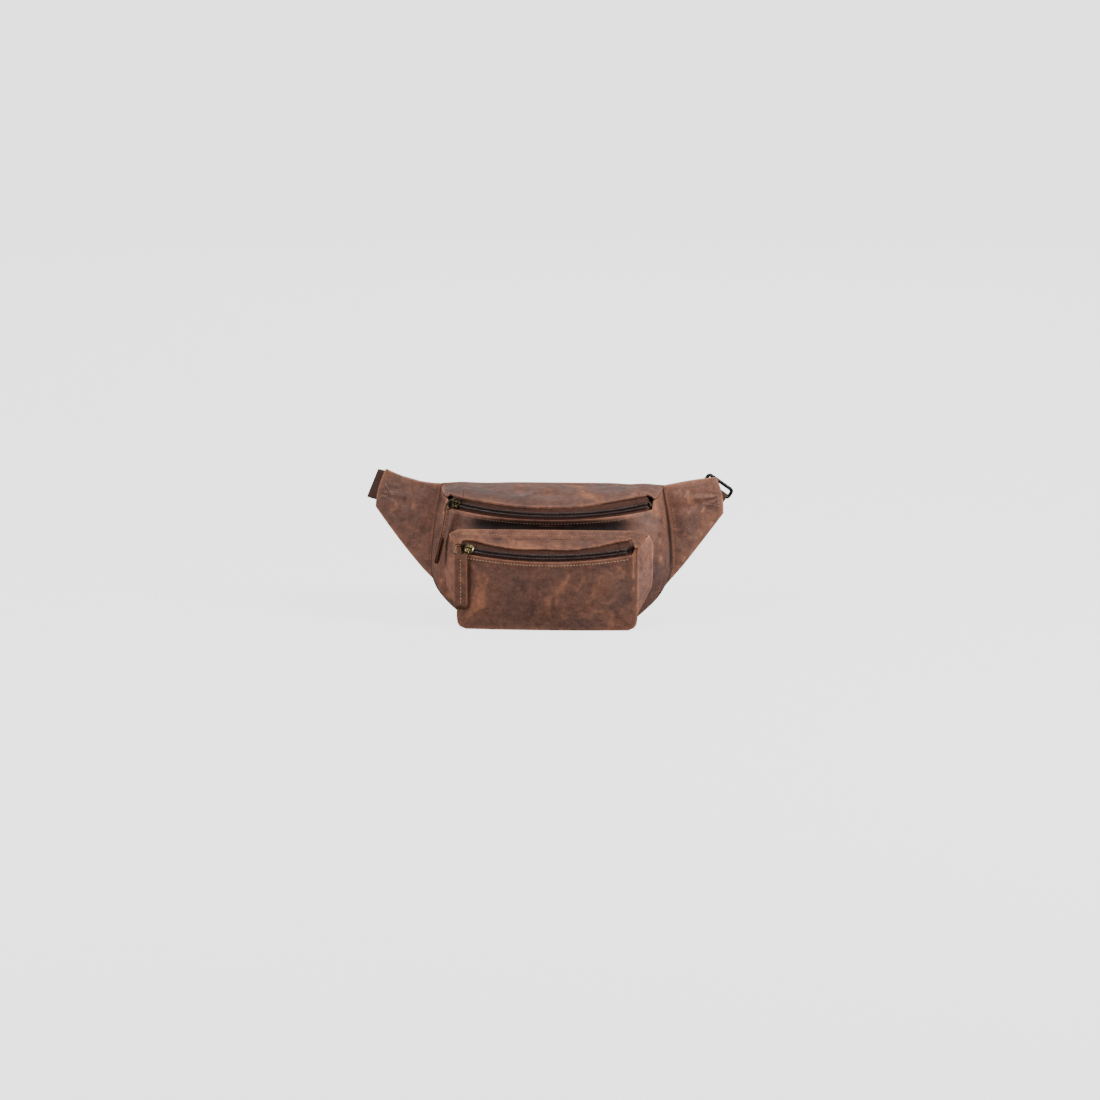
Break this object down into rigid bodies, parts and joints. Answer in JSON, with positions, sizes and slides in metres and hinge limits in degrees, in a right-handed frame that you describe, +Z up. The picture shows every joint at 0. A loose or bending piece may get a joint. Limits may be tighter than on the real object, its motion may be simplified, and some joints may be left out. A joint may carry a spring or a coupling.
{
  "type": "waist pack",
  "caption": "Leather waist pack with a curved top zip, a zipped front pocket, tapering side wings and a folded webbing belt with a snap hook and a metal ring.",
  "frame": {"origin": "On the floor plane, in the middle of the bag's base from side to side and 45 mm in front of the back panel's outer face.", "axes": "+X is the viewer's right and runs along the bag's length, the front with the pocket faces -Y, and +Z is up with the base on z = 0."},
  "size_m": [0.3639, 0.1359, 0.1391],
  "materials": {
    "leather": "waxed pull-up leather, worn lighter at edges and creases",
    "puller_leather": "folded waxed leather",
    "lining": "plain woven lining",
    "zip_tape": "woven tape",
    "zip_coil": "nylon coil",
    "antique_brass": "antique, darkened",
    "dark_metal": "black, satin",
    "webbing": "ribbed webbing"
  },
  "bodies": {
    "pack": {"body_wall": "leather", "back_panel": "leather", "base_panel": "leather", "top_plate": "leather", "main_lining": "lining", "main_tape_lower": "zip_tape", "main_tape_left": "zip_tape", "main_tape_right": "zip_tape", "main_teeth_lower": "zip_coil", "main_stop_left": "antique_brass", "main_stop_right": "antique_brass", "pocket_face": "leather", "pocket_top": "leather", "pocket_gusset": "leather", "pocket_lining": "lining", "pocket_tape_lower": "zip_tape", "pocket_tape_left": "zip_tape", "pocket_tape_right": "zip_tape", "pocket_teeth_lower": "zip_coil", "pocket_stop_left": "antique_brass", "pocket_stop_right": "antique_brass", "belt_strap": "webbing"},
    "main_lid": {"top_flap": "leather", "main_tape_upper": "zip_tape", "main_teeth_upper": "zip_coil"},
    "pocket_lid": {"pocket_lip": "leather", "pocket_tape_upper": "zip_tape", "pocket_teeth_upper": "zip_coil"},
    "main_slider": {"main_slider": "antique_brass"},
    "main_loop": {"main_loop": "antique_brass"},
    "main_puller": {"main_puller": "puller_leather"},
    "pocket_slider": {"pocket_slider": "antique_brass"},
    "pocket_loop": {"pocket_loop": "antique_brass"},
    "pocket_puller": {"pocket_puller": "puller_leather"},
    "left_wing": {"wing_left_front": "leather", "wing_left_back": "leather", "strap_left": "webbing"},
    "right_wing": {"wing_right_front": "leather", "wing_right_back": "leather", "ring_tab": "webbing"},
    "ring": {"ring": "dark_metal"},
    "belt_hook": {"belt_hook": "dark_metal"},
    "hook_gate": {"hook_gate": "dark_metal"},
    "belt_keeper": {"belt_keeper": "webbing"}
  },
  "joints": [
    {"name": "main_zip", "type": "hinge", "parent": "pack", "child": "main_slider", "pos_m": [0, 0.15259, 0.14972], "axis": [0, -0.2334, 0.9724], "range_deg": [0, 62.8], "deforming": ["main_puller"]},
    {"name": "main_mouth", "type": "hinge", "parent": "pack", "child": "main_lid", "pos_m": [0, 0.01663, 0.12491], "axis": [-1, 0, 0], "range_deg": [0, 100]},
    {"name": "main_loop_swing", "type": "hinge", "parent": "main_slider", "child": "main_loop", "pos_m": [-0.09399, 0.00045, 0.1175], "axis": [0.3685, 0.4218, 0.8284], "range_deg": [-28, 60], "deforming": ["main_puller"]},
    {"name": "main_puller_swing", "type": "hinge", "parent": "main_loop", "child": "main_puller", "pos_m": [-0.10078, -0.01297, 0.11211], "axis": [0.38, 0.925, 0], "range_deg": [0, 60]},
    {"name": "pocket_zip", "type": "hinge", "parent": "pack", "child": "pocket_slider", "pos_m": [0, 0.21025, 0.27664], "axis": [0, -0.619, 0.7854], "range_deg": [0, 26.7]},
    {"name": "pocket_mouth", "type": "hinge", "parent": "pack", "child": "pocket_lid", "pos_m": [0, -0.03821, 0.08704], "axis": [-1, 0, 0], "range_deg": [0, 75]},
    {"name": "pocket_loop_swing", "type": "hinge", "parent": "pocket_slider", "child": "pocket_loop", "pos_m": [-0.07614, -0.04798, 0.08024], "axis": [0.2196, 0.5355, 0.8155], "range_deg": [0, 100]},
    {"name": "pocket_puller_swing", "type": "hinge", "parent": "pocket_loop", "child": "pocket_puller", "pos_m": [-0.08466, -0.05118, 0.07493], "axis": [-0.9992, 0.04, 0], "range_deg": [0, 80]},
    {"name": "left_wing_fold", "type": "hinge", "parent": "pack", "child": "left_wing", "pos_m": [-0.1075, 0.0485, 0.07], "axis": [0, 0, -1], "range_deg": [0, 45]},
    {"name": "right_wing_fold", "type": "hinge", "parent": "pack", "child": "right_wing", "pos_m": [0.1075, 0.0485, 0.07], "axis": [0, 0, 1], "range_deg": [0, 45]},
    {"name": "ring_swing", "type": "hinge", "parent": "right_wing", "child": "ring", "pos_m": [0.16007, 0.06909, 0.1205], "axis": [-0.7459, -0.3133, 0.5878], "range_deg": [0, 120]},
    {"name": "hook_swing", "type": "hinge", "parent": "pack", "child": "belt_hook", "pos_m": [0.0475, 0.0585, 0.11], "axis": [0, 0, 1], "range_deg": [0, 60]},
    {"name": "gate_press", "type": "hinge", "parent": "belt_hook", "child": "hook_gate", "pos_m": [0.0625, 0.0585, 0.1013], "axis": [0, -1, 0], "range_deg": [0, 35]},
    {"name": "keeper_slide", "type": "slide", "parent": "pack", "child": "belt_keeper", "axis": [1, 0, 0], "range_m": [-0.012, 0.012]}
  ]
}
